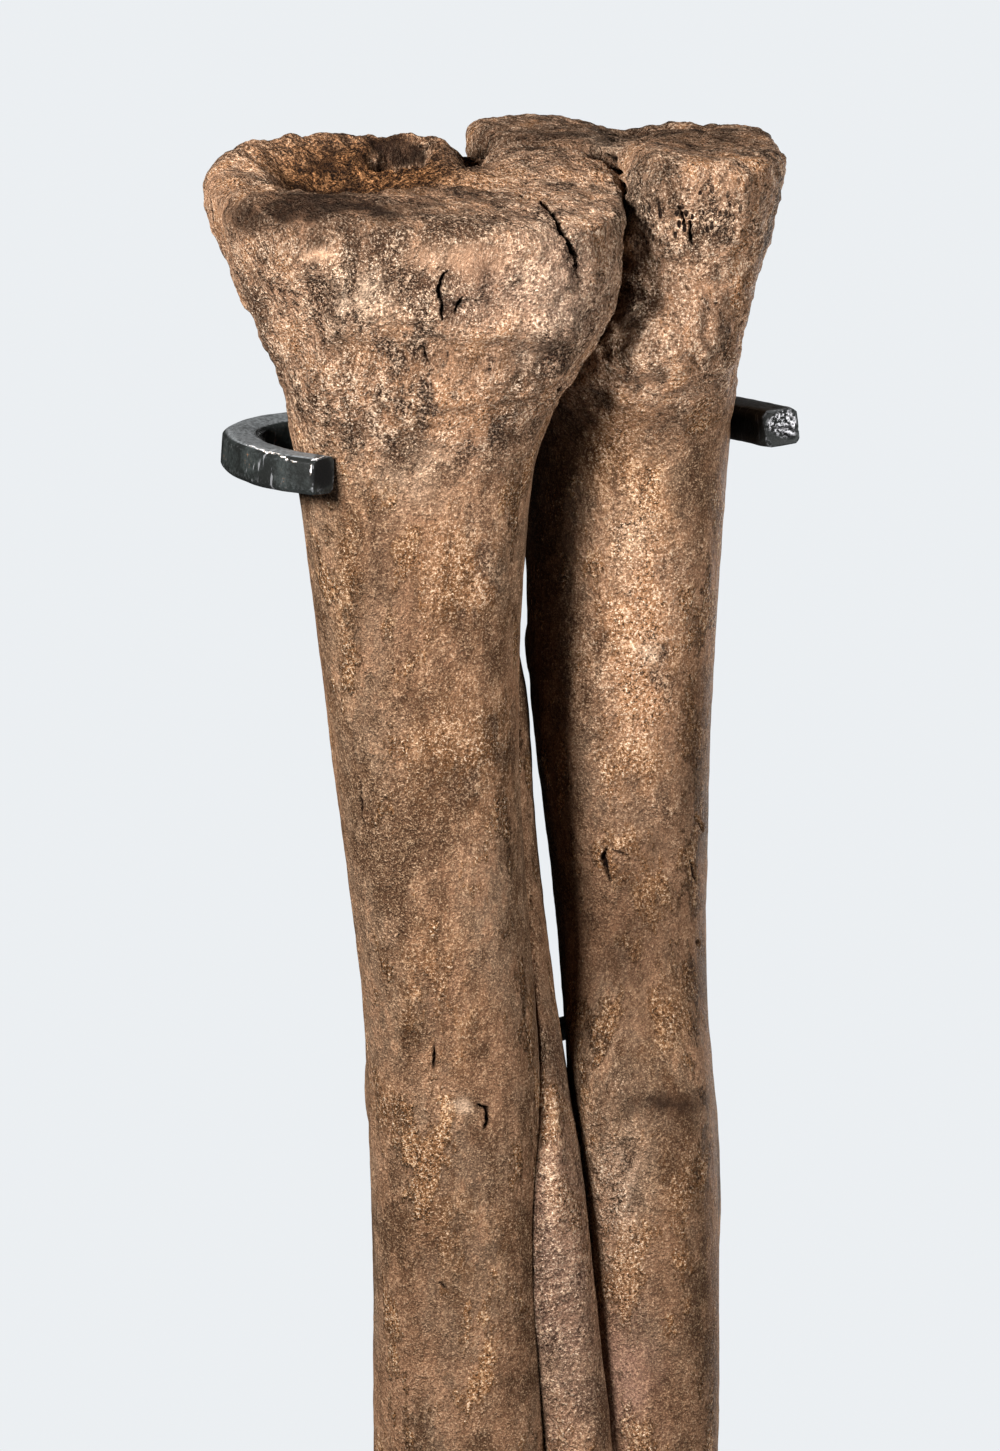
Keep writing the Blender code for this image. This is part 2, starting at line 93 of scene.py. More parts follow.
@dataclass(frozen=True)
class Viewpoint:
    """The photograph's point of view: a long lens, from the front left, a little above.

    The aim lies on the frame's middle. Sizes are in millimetres and degrees.
    """

    azimuth: float = -27.0
    elevation: float = 14.0
    distance: float = 1600.0
    aim_across: float = -4.56
    aim_height: float = 335.0
    column_y: float = 95.0
    frame_height: float = 0.152 * 1451
    sensor: float = 36.0

    @property
    def across(self) -> np.ndarray:
        """Give the unit vector to the right of the view."""
        turn = math.radians(self.azimuth)
        return np.array([math.cos(turn), math.sin(turn), 0.0])

    @property
    def front(self) -> np.ndarray:
        """Give the level unit vector towards the viewer."""
        turn = math.radians(self.azimuth)
        return np.array([math.sin(turn), -math.cos(turn), 0.0])

    @property
    def back(self) -> np.ndarray:
        """Give the unit vector from the aim to the eye."""
        tilt = math.radians(self.elevation)
        return self.front * math.cos(tilt) + np.array([0.0, 0.0, math.sin(tilt)])

    @property
    def aim(self) -> np.ndarray:
        """Give the aimed point in metres."""
        level = np.array([0.0, self.column_y, self.aim_height])
        return (level + self.across * self.aim_across) * MM

    def plan(self, points: np.ndarray) -> np.ndarray:
        """Give points as across, front and height from the column at eye level.

        Args:
            points: Points of the frame in metres, one per row.

        Returns:
            Millimetres across, to the front and above eye level, one row each.
        """
        local = points / MM - np.array([0.0, self.column_y, self.aim_height])
        return np.stack([local @ self.across, local @ self.front, local[:, 2]], axis=1)

    def seen(self, points: np.ndarray) -> np.ndarray:
        """Give where points show on the view plane through the aim.

        Args:
            points: Points of the frame in metres, one per row.

        Returns:
            Millimetres right of and above the frame's middle, one row each.
        """
        tilt = math.radians(self.elevation)
        local = self.plan(points)
        right = local[:, 0] - self.aim_across
        up = local[:, 2] * math.cos(tilt) - local[:, 1] * math.sin(tilt)
        depth = self.distance - local[:, 1] * math.cos(tilt) - local[:, 2] * math.sin(tilt)
        return np.stack([right, up], axis=1) * (self.distance / depth)[:, None]

    def make_camera(self) -> None:
        """Create the camera at this point of view and make it the scene's."""
        lens = bpy.data.cameras.new("camera")
        lens.sensor_width = self.sensor
        lens.lens = self.sensor * self.distance / self.frame_height
        lens.clip_start = 0.05
        lens.clip_end = 60.0
        eye = linked("camera", lens)
        eye.location = Vector(self.aim + self.back * self.distance * MM)
        eye.rotation_euler = Vector(self.back).to_track_quat("Z", "Y").to_euler()
        bpy.context.scene.camera = eye


VIEW = Viewpoint()


def math_operator(operation: str, swapped: bool = False) -> Callable[["Socket", Any], "Socket"]:
    """Make the method of a Python operator, which adds a Math node.

    Args:
        operation: The Math node's operation.
        swapped: Whether the socket stands to the operator's right.

    Returns:
        The method.
    """
    def method(self: "Socket", other: Any) -> "Socket":
        """Join this and another value."""
        return self.graph.maths(operation, *((other, self) if swapped else (self, other)))
    return method


class Socket:
    """A shader output that takes part in Python expressions."""

    def __init__(self, graph: "Graph", source: bpy.types.NodeSocket) -> None:
        """Keep the graph and the output socket."""
        self.graph = graph
        self.source = source

    __add__ = __radd__ = math_operator("ADD")
    __mul__ = __rmul__ = math_operator("MULTIPLY")
    __sub__ = math_operator("SUBTRACT")
    __rsub__ = math_operator("SUBTRACT", swapped=True)
    __pow__ = math_operator("POWER")

    def above(self, low: float, high: float) -> "Socket":
        """Give 0 below low, 1 above high and a smooth step between."""
        made = self.graph.node("MapRange", {"interpolation_type": "SMOOTHSTEP"},
                               {"Value": self, "From Min": low, "From Max": high})
        return Socket(self.graph, made.outputs[0])


class Graph:
    """A material's nodes, written as calls and expressions."""

    def __init__(self, name: str) -> None:
        """Start an empty node tree for a material of this name."""
        self.material = bpy.data.materials.new(name)
        self.material.use_nodes = True
        self.tree = self.material.node_tree
        self.tree.nodes.clear()

    def node(self, kind: str, settings: dict[str, Any] | None = None,
             inputs: dict[Any, Any] | None = None) -> bpy.types.Node:
        """Add one node.

        Args:
            kind: Blender's type of node, without its common beginning.
            settings: Properties, set before the sockets.
            inputs: Values or sockets, by the name or index of the input.

        Returns:
            The new node.
        """
        made = self.tree.nodes.new("ShaderNode" + kind)
        for key, value in (settings or {}).items():
            setattr(made, key, value)
        for key, value in (inputs or {}).items():
            if isinstance(value, Socket):
                self.tree.links.new(value.source, made.inputs[key])
            else:
                made.inputs[key].default_value = value
        return made

    def maths(self, operation: str, *values: Any) -> Socket:
        """Add a Math node for an operation on values or sockets."""
        made = self.node("Math", {"operation": operation}, dict(enumerate(values)))
        return Socket(self, made.outputs[0])

    def place(self) -> Socket:
        """Give the point in object coordinates."""
        return Socket(self, self.node("TexCoord").outputs["Object"])

    def masks(self, *wanted: Mask) -> list[Socket]:
        """Give sculpted masks that the mesh carries, one socket each."""
        nodes = [self.node("Attribute", {"attribute_name": mask.value}) for mask in wanted]
        return [Socket(self, made.outputs["Fac"]) for made in nodes]

    def stretched(self, vector: Socket, scale: Sequence[float], shift: float = 0.0) -> Socket:
        """Scale a vector along each axis, and shift it to another part of a pattern."""
        made = self.node("Mapping", None, {"Vector": vector, "Scale": tuple(scale),
                                           "Location": (shift, shift * 0.7, shift * 1.3)})
        return Socket(self, made.outputs[0])

    def noise(self, vector: Socket, scale: float, detail: float, rough: float) -> Socket:
        """Give fractal noise from 0 to 1 around 0.5."""
        made = self.node("TexNoise", None, {"Vector": vector, "Scale": scale, "Detail": detail,
                                            "Roughness": rough})
        return Socket(self, made.outputs["Fac"])

    def cells(self, vector: Socket, scale: float) -> Socket:
        """Give the distance to the nearest point of a Voronoi pattern."""
        made = self.node("TexVoronoi", {"feature": "F1"}, {"Vector": vector, "Scale": scale})
        return Socket(self, made.outputs["Distance"])

    def laid(self, tone: Any, *layers: tuple[Any, Any]) -> Socket:
        """Lay colours over a tone, one after the other.

        Args:
            tone: The colour at the bottom, a tuple or a socket.
            layers: Pairs of a share and a colour, values or sockets.

        Returns:
            The mixed colour's socket.
        """
        for share, colour in layers:
            below, above = ((*paint, 1.0) if isinstance(paint, tuple) else paint
                            for paint in (tone, colour))
            made = self.node("Mix", {"data_type": "RGBA", "blend_type": "MIX"},
                             {0: share, 6: below, 7: above})
            tone = Socket(self, made.outputs[2])
        return tone

    def bump(self, height: Socket, distance: float) -> Socket:
        """Turn a height into a normal, where 1 stands for a distance in millimetres."""
        made = self.node("Bump", None, {"Height": height, "Distance": distance * MM,
                                        "Strength": 1.0})
        return Socket(self, made.outputs[0])

    def finish(self, **sockets: Any) -> bpy.types.Material:
        """Close the graph with a Principled shader.

        Args:
            sockets: Values or sockets, by the shader's input in small letters.

        Returns:
            The material.
        """
        names = {key.replace("_", " ").title().replace("Ior", "IOR"): value
                 for key, value in sockets.items()}
        shader = self.node("BsdfPrincipled", None, names)
        output = self.node("OutputMaterial")
        self.tree.links.new(shader.outputs[0], output.inputs["Surface"])
        return self.material


class BoneGraph(Graph):
    """A bone's nodes, with the patterns, masks and shares that its tones and relief share."""

    def __init__(self, name: str) -> None:
        """Make each pattern once, from the broadest to the finest, then the shares."""
        super().__init__(name)
        place = self.place()
        tall = self.stretched(place, (1.0, 1.0, 0.5))
        self.broad = self.noise(tall, 60.0, 5.0, 0.6)
        self.second = self.noise(self.stretched(tall, (1.0, 1.0, 1.0), 3.0), 85.0, 6.0, 0.66)
        self.third = self.noise(self.stretched(tall, (1.0, 1.0, 1.0), 7.0), 150.0, 7.0, 0.72)
        self.middle = self.noise(self.stretched(place, (1.0, 1.0, 0.7), 1.0), 330.0, 4.0, 0.65)
        self.grain = self.noise(place, 1900.0, 3.0, 0.8)
        self.sand = self.noise(place, 3600.0, 2.0, 0.7)
        self.streak = self.noise(self.stretched(place, (1.0, 1.0, 0.07), 3.0), 500.0, 3.0, 0.6)
        self.holes = self.cells(self.stretched(place, (1.0, 1.0, 0.42)), 950.0)
        self.crumbs = self.grain * 0.75 + self.middle * 0.25
        self.crack, self.spongy, self.rough, self.pitted = self.masks(
            Mask.CRACK_AND_SHADOW, Mask.SPONGY, Mask.ROUGH, Mask.PITTED)
        self.worn, self.gold, self.pale, self.dark, self.red = self.masks(
            Mask.WEAR_AND_HIGHLIGHT, Mask.GOLD, Mask.PALE_AND_HIGHLIGHT, Mask.DARK, Mask.RED)
        self.make_shares()

    def make_shares(self) -> None:
        """Work out where bone is golden, crusted and pitted, and where shade is painted."""
        ragged = (self.third * 0.65 + self.second * 0.35).above(0.520, 0.575)
        self.gilt = self.maths("MAXIMUM", ragged * 0.95, self.gold * self.third.above(0.40, 0.52))
        blend = self.third * 0.5 + self.middle * 0.5
        mottle = blend.above(0.42, 0.54)
        # Painted shade: the marked shade patches, mottled, near full where a patch is strongest.
        self.mottled_painted_shade = self.maths("MAXIMUM", self.dark * (0.5 + 0.5 * mottle),
                               (self.dark ** 3.0) * (0.84 + 0.16 * mottle))
        crumbly = self.rough * (0.25 + 0.60 * blend.above(0.43, 0.56))
        crust = self.maths("MAXIMUM", crumbly, self.gilt)
        self.crust = crust * (1.0 - 0.6 * self.worn) * (1.0 - 0.5 * self.dark)
        holes = (1.0 - self.holes).above(0.64, 0.72)
        self.pits = holes * self.pitted * self.middle.above(0.37, 0.45)


@dataclass(frozen=True)
class BoneFinish:
    """Permineralised bone: brown and grainy, with golden, pale and reddish patches, painted shade,
    and painted highlights and glints.
    """

    name: str = "fossil_bone"
    deep: Colour = (0.044, 0.020, 0.0095)
    base: Colour = (0.130, 0.064, 0.034)
    light: Colour = (0.198, 0.101, 0.056)
    gold: Colour = (0.42, 0.175, 0.056)
    shade: Colour = (0.014, 0.0065, 0.0035)
    # Bright grain colours: specks and flakes that are partly real grains and partly painted
    # glints.
    fleck_and_glint: Colour = (0.86, 0.54, 0.30)
    chalk_and_glint: Colour = (0.80, 0.55, 0.37)
    flake_and_glint: Colour = (1.0, 0.84, 0.66)
    # Tan: crumbly crust, and the painted highlights of the rim.
    tan: Colour = (0.38, 0.208, 0.120)
    grey: Colour = (0.108, 0.066, 0.041)
    # Pale: paler bone, and painted highlights on the rim.
    pale: Colour = (0.52, 0.36, 0.245)
    # Near-black for pores, pits and cracks, also laid as painted shade in hollows and the cleft.
    pore_and_shade: Colour = (0.010, 0.004, 0.002)
    spongy: Colour = (0.17, 0.072, 0.027)
    # Bright crumbs in the hollow, partly painted glints.
    crumb_and_glint: Colour = (0.56, 0.270, 0.115)
    red: Colour = (0.23, 0.125, 0.092)
    roughness: float = 0.70
    specular: float = 0.05
    relief: float = 2.0

    def make(self) -> bpy.types.Material:
        """Build the material, which reads the masks of a sculpted bone."""
        graph = BoneGraph(self.name)
        # Painted highlight: the rubbed and highlighted patches of the rim are laid in tan. Cracks
        # are laid near-black, in the fourth bone's cleft as painted shadow.
        rim_wear_and_highlight = graph.worn * (0.35 + 0.35 * graph.rough) * (1.0 - 0.9 * graph.dark)
        tone = graph.laid(self.grained(graph, self.ground(graph)),
                          (graph.spongy, self.sponge(graph)), (rim_wear_and_highlight, self.tan),
                          (graph.crack, self.pore_and_shade))
        relief = (0.30 + 2.1 * graph.crust + 1.5 * graph.spongy) * (1.0 - 0.65 * graph.worn)
        height = (graph.grain * 1.2 + graph.middle * 1.3) * relief + graph.sand * 0.25
        height = height - graph.pits * 1.2 + graph.third * graph.rough * 1.2
        dull = self.roughness + 0.3 * (graph.middle - 0.5) - 0.16 * graph.worn
        dull = dull + 0.2 * graph.spongy + 0.4 * graph.crack
        normal = graph.bump(height, self.relief)
        return graph.finish(base_color=tone, roughness=dull, normal=normal,
                            specular_ior_level=self.specular)

    def ground(self, graph: BoneGraph) -> Socket:
        """Mix the broad tones that lie under the grain, with painted shade and painted highlights
        among them.
        """
        raised = (graph.middle * 0.4 + graph.second * 0.6).above(0.49, 0.58)
        sunken = (1.0 - (graph.second * 0.7 + graph.middle * 0.3)).above(0.50, 0.58)
        crumbly = graph.rough * (graph.third * 0.6 + graph.second * 0.4).above(0.43, 0.54)
        return graph.laid(
            self.grey,
            (graph.broad.above(0.42, 0.56), self.base),
            (raised * 0.8, self.light),
            (sunken * 0.95, self.deep),
            (crumbly * 0.9, self.tan),
            (graph.rough * (1.0 - graph.third).above(0.50, 0.60) * 0.55, self.base),
            (graph.gilt * 0.55, self.gold),
            # Painted shade, then pale patches, some of which are painted highlights on the head's
            # rim.
            (graph.mottled_painted_shade, self.shade),
            (graph.pale * graph.third.above(0.36, 0.56), self.pale),
            (graph.red * (0.4 + graph.middle * 0.6), self.red),
            (graph.streak.above(0.50, 0.66) * 0.45 * (1.0 - graph.rough), self.deep))

    def grained(self, graph: BoneGraph, tone: Socket) -> Socket:
        """Lay specks, pores, crevices, sand, flakes and pits on a tone; the bright specks and
        flakes are partly painted glints.
        """
        # Painted glints: bright specks and flakes also stand for light glinting on the grain.
        scale = graph.laid(self.fleck_and_glint, (graph.rough, self.chalk_and_glint))
        specks_and_glints = graph.crumbs.above(0.52, 0.59) * (0.05 + 0.95 * graph.crust)
        empty = 1.0 - graph.crumbs
        crevices = (1.0 - graph.third).above(0.545, 0.590) * empty.above(0.46, 0.53)
        dust = graph.sand.above(0.5, 0.66) * (0.18 + 0.2 * graph.crust)
        flakes_and_glints = (graph.sand * 0.6 + graph.grain * 0.4).above(0.575, 0.60)
        return graph.laid(
            tone,
            (specks_and_glints * (1.0 - 0.92 * graph.mottled_painted_shade), scale),
            (empty.above(0.52, 0.58) * (0.16 + 0.84 * graph.crust), self.pore_and_shade),
            (crevices * graph.rough * (1.0 - graph.worn), self.pore_and_shade),
            (dust * (1.0 - 0.85 * graph.dark), scale),
            ((1.0 - graph.sand).above(0.5, 0.66) * 0.28, self.deep),
            (flakes_and_glints * graph.crust * (1.0 - graph.dark) * 0.8, self.flake_and_glint),
            (graph.pits, self.pore_and_shade))

    def sponge(self, graph: BoneGraph) -> Socket:
        """Mix the tone of spongy bone in a hollow, with bright crumbs that are partly painted
        glints, and painted shade where marked.
        """
        crumbs = graph.crumbs.above(0.52, 0.58) * graph.third.above(0.38, 0.54)
        return graph.laid(
            self.pore_and_shade,
            (graph.crumbs.above(0.43, 0.50), self.spongy),
            ((1.0 - graph.third).above(0.48, 0.58) * 0.75, self.shade),
            (crumbs, self.crumb_and_glint),
            (graph.mottled_painted_shade * 0.9, self.pore_and_shade))


@dataclass(frozen=True)
class ClawFinish:
    """Claws: darker, denser and a little polished."""

    name: str = "fossil_claw"
    deep: Colour = (0.06, 0.034, 0.021)
    base: Colour = (0.17, 0.10, 0.062)
    light: Colour = (0.30, 0.195, 0.12)
    gap: Colour = (0.02, 0.012, 0.008)
    specular: float = 0.45

    def make(self) -> bpy.types.Material:
        """Build the material, which reads the crack mask."""
        graph = Graph(self.name)
        place = graph.place()
        broad = graph.noise(place, 90.0, 5.0, 0.6)
        fine = graph.noise(place, 1100.0, 4.0, 0.6)
        [crack] = graph.masks(Mask.CRACK_AND_SHADOW)
        tone = graph.laid(self.deep, (broad.above(0.38, 0.6), self.base),
                          ((broad * 0.4 + fine * 0.6).above(0.5, 0.62) * 0.6, self.light),
                          (crack, self.gap))
        normal = graph.bump(fine * 0.6 + broad * 0.6, 0.35)
        return graph.finish(base_color=tone, roughness=0.42 + 0.3 * (1.0 - broad), normal=normal,
                            specular_ior_level=self.specular)


@dataclass(frozen=True)
class SteelFinish:
    """Forged steel under black oxide: scratched, chipped and broken, with a painted highlight on
    top faces and painted shade where marked.
    """

    name: str = "black_steel"
    oxide: Colour = (0.005, 0.0055, 0.005)
    bloom: Colour = (0.018, 0.021, 0.020)
    # Painted highlight: lighter grey for faces that point up, as lit from above.
    top_light: Colour = (0.135, 0.142, 0.145)
    # Black for cracks and for painted shade.
    black: Colour = (0.002, 0.002, 0.002)
    rust: Colour = (0.14, 0.060, 0.026)
    chip: Colour = (0.62, 0.42, 0.22)
    bare: Colour = (0.80, 0.79, 0.82)
    roughness: float = 0.50
    specular: float = 0.10

    def make(self) -> bpy.types.Material:
        """Build the material, which reads the masks of a forged bar."""
        graph = Graph(self.name)
        place = graph.place()
        broad = graph.noise(place, 160.0, 5.0, 0.6)
        fine = graph.noise(place, 1800.0, 4.0, 0.7)
        scratch = graph.noise(graph.stretched(place, (0.5, 1.0, 0.16), 5.0), 1400.0, 2.0, 0.5)
        # The shade mask here is painted shade, laid in black.
        worn, black, broken = graph.masks(Mask.WEAR_AND_HIGHLIGHT, Mask.DARK, Mask.ROUGH)
        top_light, chipped, crack = graph.masks(Mask.PALE_AND_HIGHLIGHT, Mask.GOLD, Mask.CRACK_AND_SHADOW)
        scratches = scratch.above(0.66, 0.71) * (1.0 - black)
        marks = scratches * 0.16 + worn * fine.above(0.5, 0.6) * 0.35
        bright = graph.maths("MINIMUM", marks * 0.6 + broken * fine.above(0.47, 0.60), 1.0)
        # Painted highlight: lighter grey on top faces; painted shade: black where the shade mask
        # lies.
        tone = graph.laid(
            self.oxide,
            ((broad * 0.7 + fine * 0.3).above(0.44, 0.66), self.bloom),
            (top_light * fine.above(0.25, 0.6), self.top_light),
            ((broad * 0.5 + fine * 0.5).above(0.60, 0.67) * 0.8, self.rust),
            (black, self.black),
            (bright, self.bare),
            (chipped * fine.above(0.42, 0.54),
             graph.laid(self.chip, (fine.above(0.42, 0.56), self.bare))),
            (crack, self.black))
        normal = graph.bump(fine * (0.25 + 2.4 * broken) + broad * 0.6, 0.35)
        dull = self.roughness + 0.25 * (fine - 0.5) - 0.1 * bright + 0.4 * black
        return graph.finish(base_color=tone, metallic=0.05 + 0.5 * bright, roughness=dull,
                            normal=normal, specular_ior_level=self.specular)


@dataclass(frozen=True)
class Fractal:
    """Repeatable noise over points: a size in millimetres, octaves and a seed."""

    size: float
    octaves: int = 3
    seed: float = 0.0
    stretch: float = 1.0

    def at(self, points: np.ndarray) -> np.ndarray:
        """Give noise around zero.

        Args:
            points: Points in metres, one per row.

        Returns:
            One value per point.
        """
        scale = 1.0 / (self.size * MM)
        rows = points * np.array([scale, scale, scale / self.stretch]) + self.seed
        return np.array([noise.fractal(Vector(row), 0.9, 2.1, self.octaves) for row in rows])


CRACK_DRIFT = (Fractal(1.6, 3, 2.0), Fractal(1.6, 3, 8.0))
CRACK_SWELL = (Fractal(1.1, 2, 5.0),)
CRACK_REACH = 4.0
PATCH_DRIFT = (Fractal(5.0, 4, 2.0), Fractal(5.0, 4, 8.0))


def drifts(spots: np.ndarray, parts: Sequence[Fractal]) -> np.ndarray:
    """Give noise at seen spots, with one column per part."""
    flat = np.column_stack([spots, np.zeros(len(spots))]) * MM
    return np.column_stack([part.at(flat) for part in parts])


@dataclass(frozen=True)
class Crack:
    """A crack on the viewer's side, as a line on the view plane, in millimetres."""

    line: Sequence[Point]
    width: float = 0.3
    depth: float = 1.2
    wander: float = 0.3
    mask: Mask = Mask.CRACK_AND_SHADOW

    def distance(self, spots: np.ndarray) -> tuple[np.ndarray, np.ndarray]:
        """Measure seen spots against the line.

        Args:
            spots: Places on the view plane, one per row.

        Returns:
            Each spot's distance from the line, and how far along it lies, from 0 to 1.
        """
        best = np.full(len(spots), 1e3)
        along = np.zeros(len(spots))
        lengths = [math.dist(start, end) for start, end in zip(self.line[:-1], self.line[1:])]
        done = 0.0
        for start, end, length in zip(self.line[:-1], self.line[1:], lengths):
            run = np.array(end) - np.array(start)
            share = np.clip(((spots - np.array(start)) @ run) / length ** 2, 0.0, 1.0)
            gap = np.linalg.norm(spots - np.array(start) - share[:, None] * run, axis=1)
            along = np.where(gap < best, (done + share * length) / sum(lengths), along)
            best = np.minimum(best, gap)
            done += length
        return best, along

    def share(self, spots: np.ndarray) -> np.ndarray:
        """Give how deep each seen spot lies in the crack.

        Args:
            spots: Places on the view plane, one per row.

        Returns:
            One share per spot, from 0 to 1.
        """
        result = np.zeros(len(spots))
        near = self.distance(spots)[0] < CRACK_REACH
        if not near.any():
            return result
        close = spots[near]
        gap, along = self.distance(close + drifts(close, CRACK_DRIFT) * self.wander)
        swell = np.clip(0.85 + 0.7 * drifts(close, CRACK_SWELL)[:, 0], 0.5, 1.4)
        width = self.width * swell * np.sqrt(np.sin(math.pi * (0.04 + 0.92 * along)))
        result[near] = np.exp(-(gap / width) ** 2)
        return result


@dataclass(frozen=True)
class Bell:
    """A bell-shaped rise round a middle, in millimetres, or a share with that shape.

    A middle of two numbers lies on the view plane, or across and to the front on a head's top.
    One of three has the height above eye level too.
    """

    middle: Sequence[float]
    reach: Sequence[float]
    rise: float = 1.0
    steep: float = 1.0

    def at(self, places: np.ndarray) -> np.ndarray:
        """Give the rise at places.

        Args:
            places: Places, one per row, with at least as many columns as the middle.

        Returns:
            One rise per place.
        """
        part = (places[:, :len(self.middle)] - np.array(self.middle)) / np.array(self.reach)
        return self.rise * np.exp(-(part ** 2).sum(axis=1) ** self.steep)


def bells(*rows: Sequence[float]) -> tuple[Bell, ...]:
    """Make bells from rows: middle and reach of two numbers each, rise and steepness."""
    return tuple(Bell(row[:2], row[2:4], *row[4:]) for row in rows)


@dataclass(frozen=True)
class Pull:
    """A form brought nearer to the viewer along the line of sight, so it shows where it was.

    Each span of heights, depths or sides, in millimetres, goes from no effect to the full one.
    """

    rise: float
    heights: Point
    depths: Point = (-12.0, 2.0)
    sides: Point = (-60.0, -55.0)

    def at(self, plan: np.ndarray) -> np.ndarray:
        """Give the move at points of the plan."""
        share = soft_step(plan[:, 2], *self.heights) * soft_step(plan[:, 1], *self.depths)
        return self.rise * share * soft_step(plan[:, 0], *self.sides)


def linked(name: str, data: bpy.types.ID) -> bpy.types.Object:
    """Put a mesh, camera or light in the scene.

    Args:
        name: The object's name.
        data: The mesh, camera or light.

    Returns:
        The new object.
    """
    piece = bpy.data.objects.new(name, data)
    bpy.context.scene.collection.objects.link(piece)
    return piece


def copied_solid(node: str) -> bmesh.types.BMesh:
    """Copy a CAD node's mesh, merge its corners and pair its triangles.

    Args:
        node: The CAD node's name.

    Returns:
        The copy as a bmesh.
    """
    shape = bmesh.new()
    shape.from_mesh(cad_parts[node].data)
    bmesh.ops.remove_doubles(shape, verts=shape.verts[:], dist=WELD)
    bmesh.ops.join_triangles(shape, faces=shape.faces[:], angle_face_threshold=SAME_PLANE,
                             angle_shape_threshold=QUAD_SHAPE)
    return shape


def smoothed(shape: bmesh.types.BMesh, levels: int,
             crease_angle: float | None = None) -> bmesh.types.BMesh:
    """Subdivide a shape smoothly.

    Args:
        shape: The bmesh, which is freed.
        levels: Levels of Catmull-Clark subdivision.
        crease_angle: Edges sharper than this, in degrees, are creased.

    Returns:
        The finer bmesh.
    """
    if crease_angle is not None:
        crease = shape.edges.layers.float.new("crease_edge")
        for edge in shape.edges:
            if edge.is_manifold and edge.calc_face_angle() > math.radians(crease_angle):
                edge[crease] = CREASE
    mesh = bpy.data.meshes.new("working")
    shape.to_mesh(mesh)
    shape.free()
    carrier = linked("working", mesh)
    finer = carrier.modifiers.new("finer", "SUBSURF")
    finer.levels = finer.render_levels = levels
    seen = carrier.evaluated_get(bpy.context.evaluated_depsgraph_get())
    result = bpy.data.meshes.new_from_object(seen)
    made = bmesh.new()
    made.from_mesh(result)
    bpy.data.objects.remove(carrier)
    bpy.data.meshes.remove(mesh)
    bpy.data.meshes.remove(result)
    return made


def cut_long_edges(shape: bmesh.types.BMesh, longest: float) -> None:
    """Cut long edges into equal parts.

    Args:
        shape: The bmesh, changed in place.
        longest: The length that edges are cut down to, in millimetres.
    """
    for parts in (5, 4, 3, 2):
        low = longest * MM * (parts - 0.5)
        edges = [edge for edge in shape.edges if edge.calc_length() > low]
        if edges:
            bmesh.ops.subdivide_edges(shape, edges=edges, cuts=parts - 1, use_grid_fill=True)


def refined(shape: bmesh.types.BMesh, wanted: Callable[[np.ndarray], np.ndarray]) -> None:
    """Halve the faces whose middle a test accepts.

    Args:
        shape: The bmesh, changed in place.
        wanted: Takes face middles, one per row, and gives a mask.
    """
    middles = np.array([face.calc_center_median() for face in shape.faces])
    chosen = wanted(middles)
    edges = {edge for face, take in zip(shape.faces, chosen) if take for edge in face.edges}
    if edges:
        bmesh.ops.subdivide_edges(shape, edges=list(edges), cuts=1, use_grid_fill=True)


